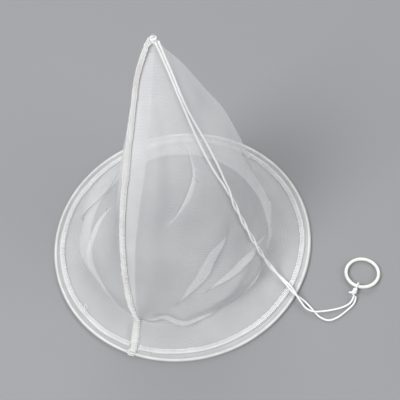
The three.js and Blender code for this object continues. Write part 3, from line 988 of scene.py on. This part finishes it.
# Finger ring
# A plain moulded ring, lying on the ground, raised on one side by the cord tied round it.
RING_CENTRE = (161.6 * MM, -68 * MM)
RING_WIDTH = 3.1 * MM
RING_OUTER = 33 * MM
RING_LINE = RING_OUTER / 2 - RING_WIDTH / 2
RING_LIFT = CORD_WIDTH + CLOTH_GAP
RING_TILT = math.asin(RING_LIFT / (2 * RING_LINE))
KNOT_BEARING = math.atan2(-15, -9.7)
RING_PALE = (0.9, 0.895, 0.85)
RING_FLOW = (0.8, 0.79, 0.74)


def ring_finish():
    material, place = begin_finish("cream moulded plastic")
    flow = place.node("ShaderNodeTexNoise", (), {"Vector": place, "Scale": 160, "Detail": 4})
    colour = flow.within(0.3, 0.7).blend(RING_FLOW, RING_PALE)
    return end_finish(material, height=flow, depth=0.15, distance=0.1 * MM, base_color=colour,
                      roughness=0.28 + 0.18 * flow, coat_weight=0.2)


ring_turn = Matrix.Rotation(KNOT_BEARING, 3, "Z") @ Matrix.Rotation(-RING_TILT, 3, "Y")
ring_middle = (*RING_CENTRE, RING_WIDTH / 2 + RING_LIFT / 2)
ring = ring_of_wire(
    "pull_ring_moulded", ring_middle, RING_LINE, RING_WIDTH, ring_finish(), 96, 20, ring_turn
)
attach(ring, "root")
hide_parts("pull_ring")

# Ring knot
# The cord goes round the ring once and is closed by a barrel of turns, with one short cut tail. Its
# lines are in mm, outward along the knot from the ring's own line, across it and up.
KNOT_WIDTH = 0.95 * CORD_WIDTH
LOOP_GAP = 0.3
LOOP_LEAN = 0.5
LOOP_POINTS = 14
# in radians to each side of where the loop opens into the knot
LOOP_OPENING = 0.3
BARREL_START = 3.6
BARREL_STEP = 0.68
BARREL_WIDE = 1.45
BARREL_HIGH = 1.35
BARREL_WIND = 2.2
BARREL_LENGTH = 8.2
BARREL_POINTS = 34
KNOT_CORE = [(3.2, 0, 0.1), (6, 0.3, -0.1), (9.4, -0.2, 0.2)]
KNOT_TAIL = [(7.6, -1, 1), (9, -3, 0.6), (8.8, -4.6, -0.4)]


def knot_line(points):
    turned = [ring_turn @ Vector(p) * MM + Vector(ring_middle) for p in points]
    return smooth_route(turned, CORD_STEP)


def knot_points():
    middle = RING_LINE / MM
    reach = (RING_WIDTH + CORD_WIDTH) / MM / 2 + LOOP_GAP
    loop = [
        (reach * math.cos(t), LOOP_LEAN * math.sin(t / 2), reach * math.sin(t))
        for t in np.linspace(LOOP_OPENING, 2 * math.pi - LOOP_OPENING, LOOP_POINTS)
    ]
    barrel = []
    for t in np.linspace(0, BARREL_LENGTH, BARREL_POINTS):
        wind = BARREL_WIND * t
        outward = BARREL_START + BARREL_STEP * t
        barrel.append((outward, BARREL_WIDE * math.cos(wind), BARREL_HIGH * math.sin(wind)))
    lines = (loop, barrel, KNOT_CORE, KNOT_TAIL)
    return [[(middle + x, y, z) for x, y, z in line] for line in lines]


knot_parts = []
for index, points in enumerate(knot_points()):
    line = knot_line(points)
    rings = twisted_cord(line, KNOT_WIDTH, PLY_TURN)
    faces = tube_faces(len(line), CORD_SIDES)
    knot_parts.append(make_piece(f"knot_{index}", rings, faces, cord_material))
knot = join_pieces(knot_parts, "ring_knot_tied")
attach(knot, "root")
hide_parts("ring_knot")

# Floor and light
# A plain pale floor under soft studio light.
FLOOR_COLOUR = (0.29, 0.292, 0.3)
FLOOR_LEVEL = -0.0004
FLOOR_REACH = 3.0
LAMP_AIM = Vector((0, 0, 0.08))


def lay_floor():
    material, _ = begin_finish("plain floor")
    end_finish(material, base_color=(*FLOOR_COLOUR, 1), roughness=0.9)
    signs = ((-1, -1), (1, -1), (1, 1), (-1, 1))
    corners = [(x * FLOOR_REACH, y * FLOOR_REACH, FLOOR_LEVEL) for x, y in signs]
    floor = make_piece("floor", corners, [(0, 1, 2, 3)], material)


def soft_lamp(name, place, size, power):
    lamp = bpy.data.objects.new(name, bpy.data.lights.new(name, "AREA"))
    lamp.data.size = size
    lamp.data.energy = power
    lamp.location = place
    lamp.rotation_euler = (LAMP_AIM - Vector(place)).to_track_quat("-Z", "Y").to_euler()
    bpy.context.collection.objects.link(lamp)


lay_floor()
soft_lamp("key", (-0.9, -0.5, 1.5), 0.8, 22)
soft_lamp("fill", (1.2, -0.6, 1.1), 1.2, 9)
soft_lamp("back", (0.2, 1.3, 1.2), 1.0, 10)
world = bpy.data.worlds.new("studio")
world.use_nodes = True
background = world.node_tree.nodes["Background"]
background.inputs["Color"].default_value = (0.9, 0.92, 0.95, 1)
background.inputs["Strength"].default_value = 0.45
bpy.context.scene.world = world
bpy.context.scene.view_settings.view_transform = "Standard"
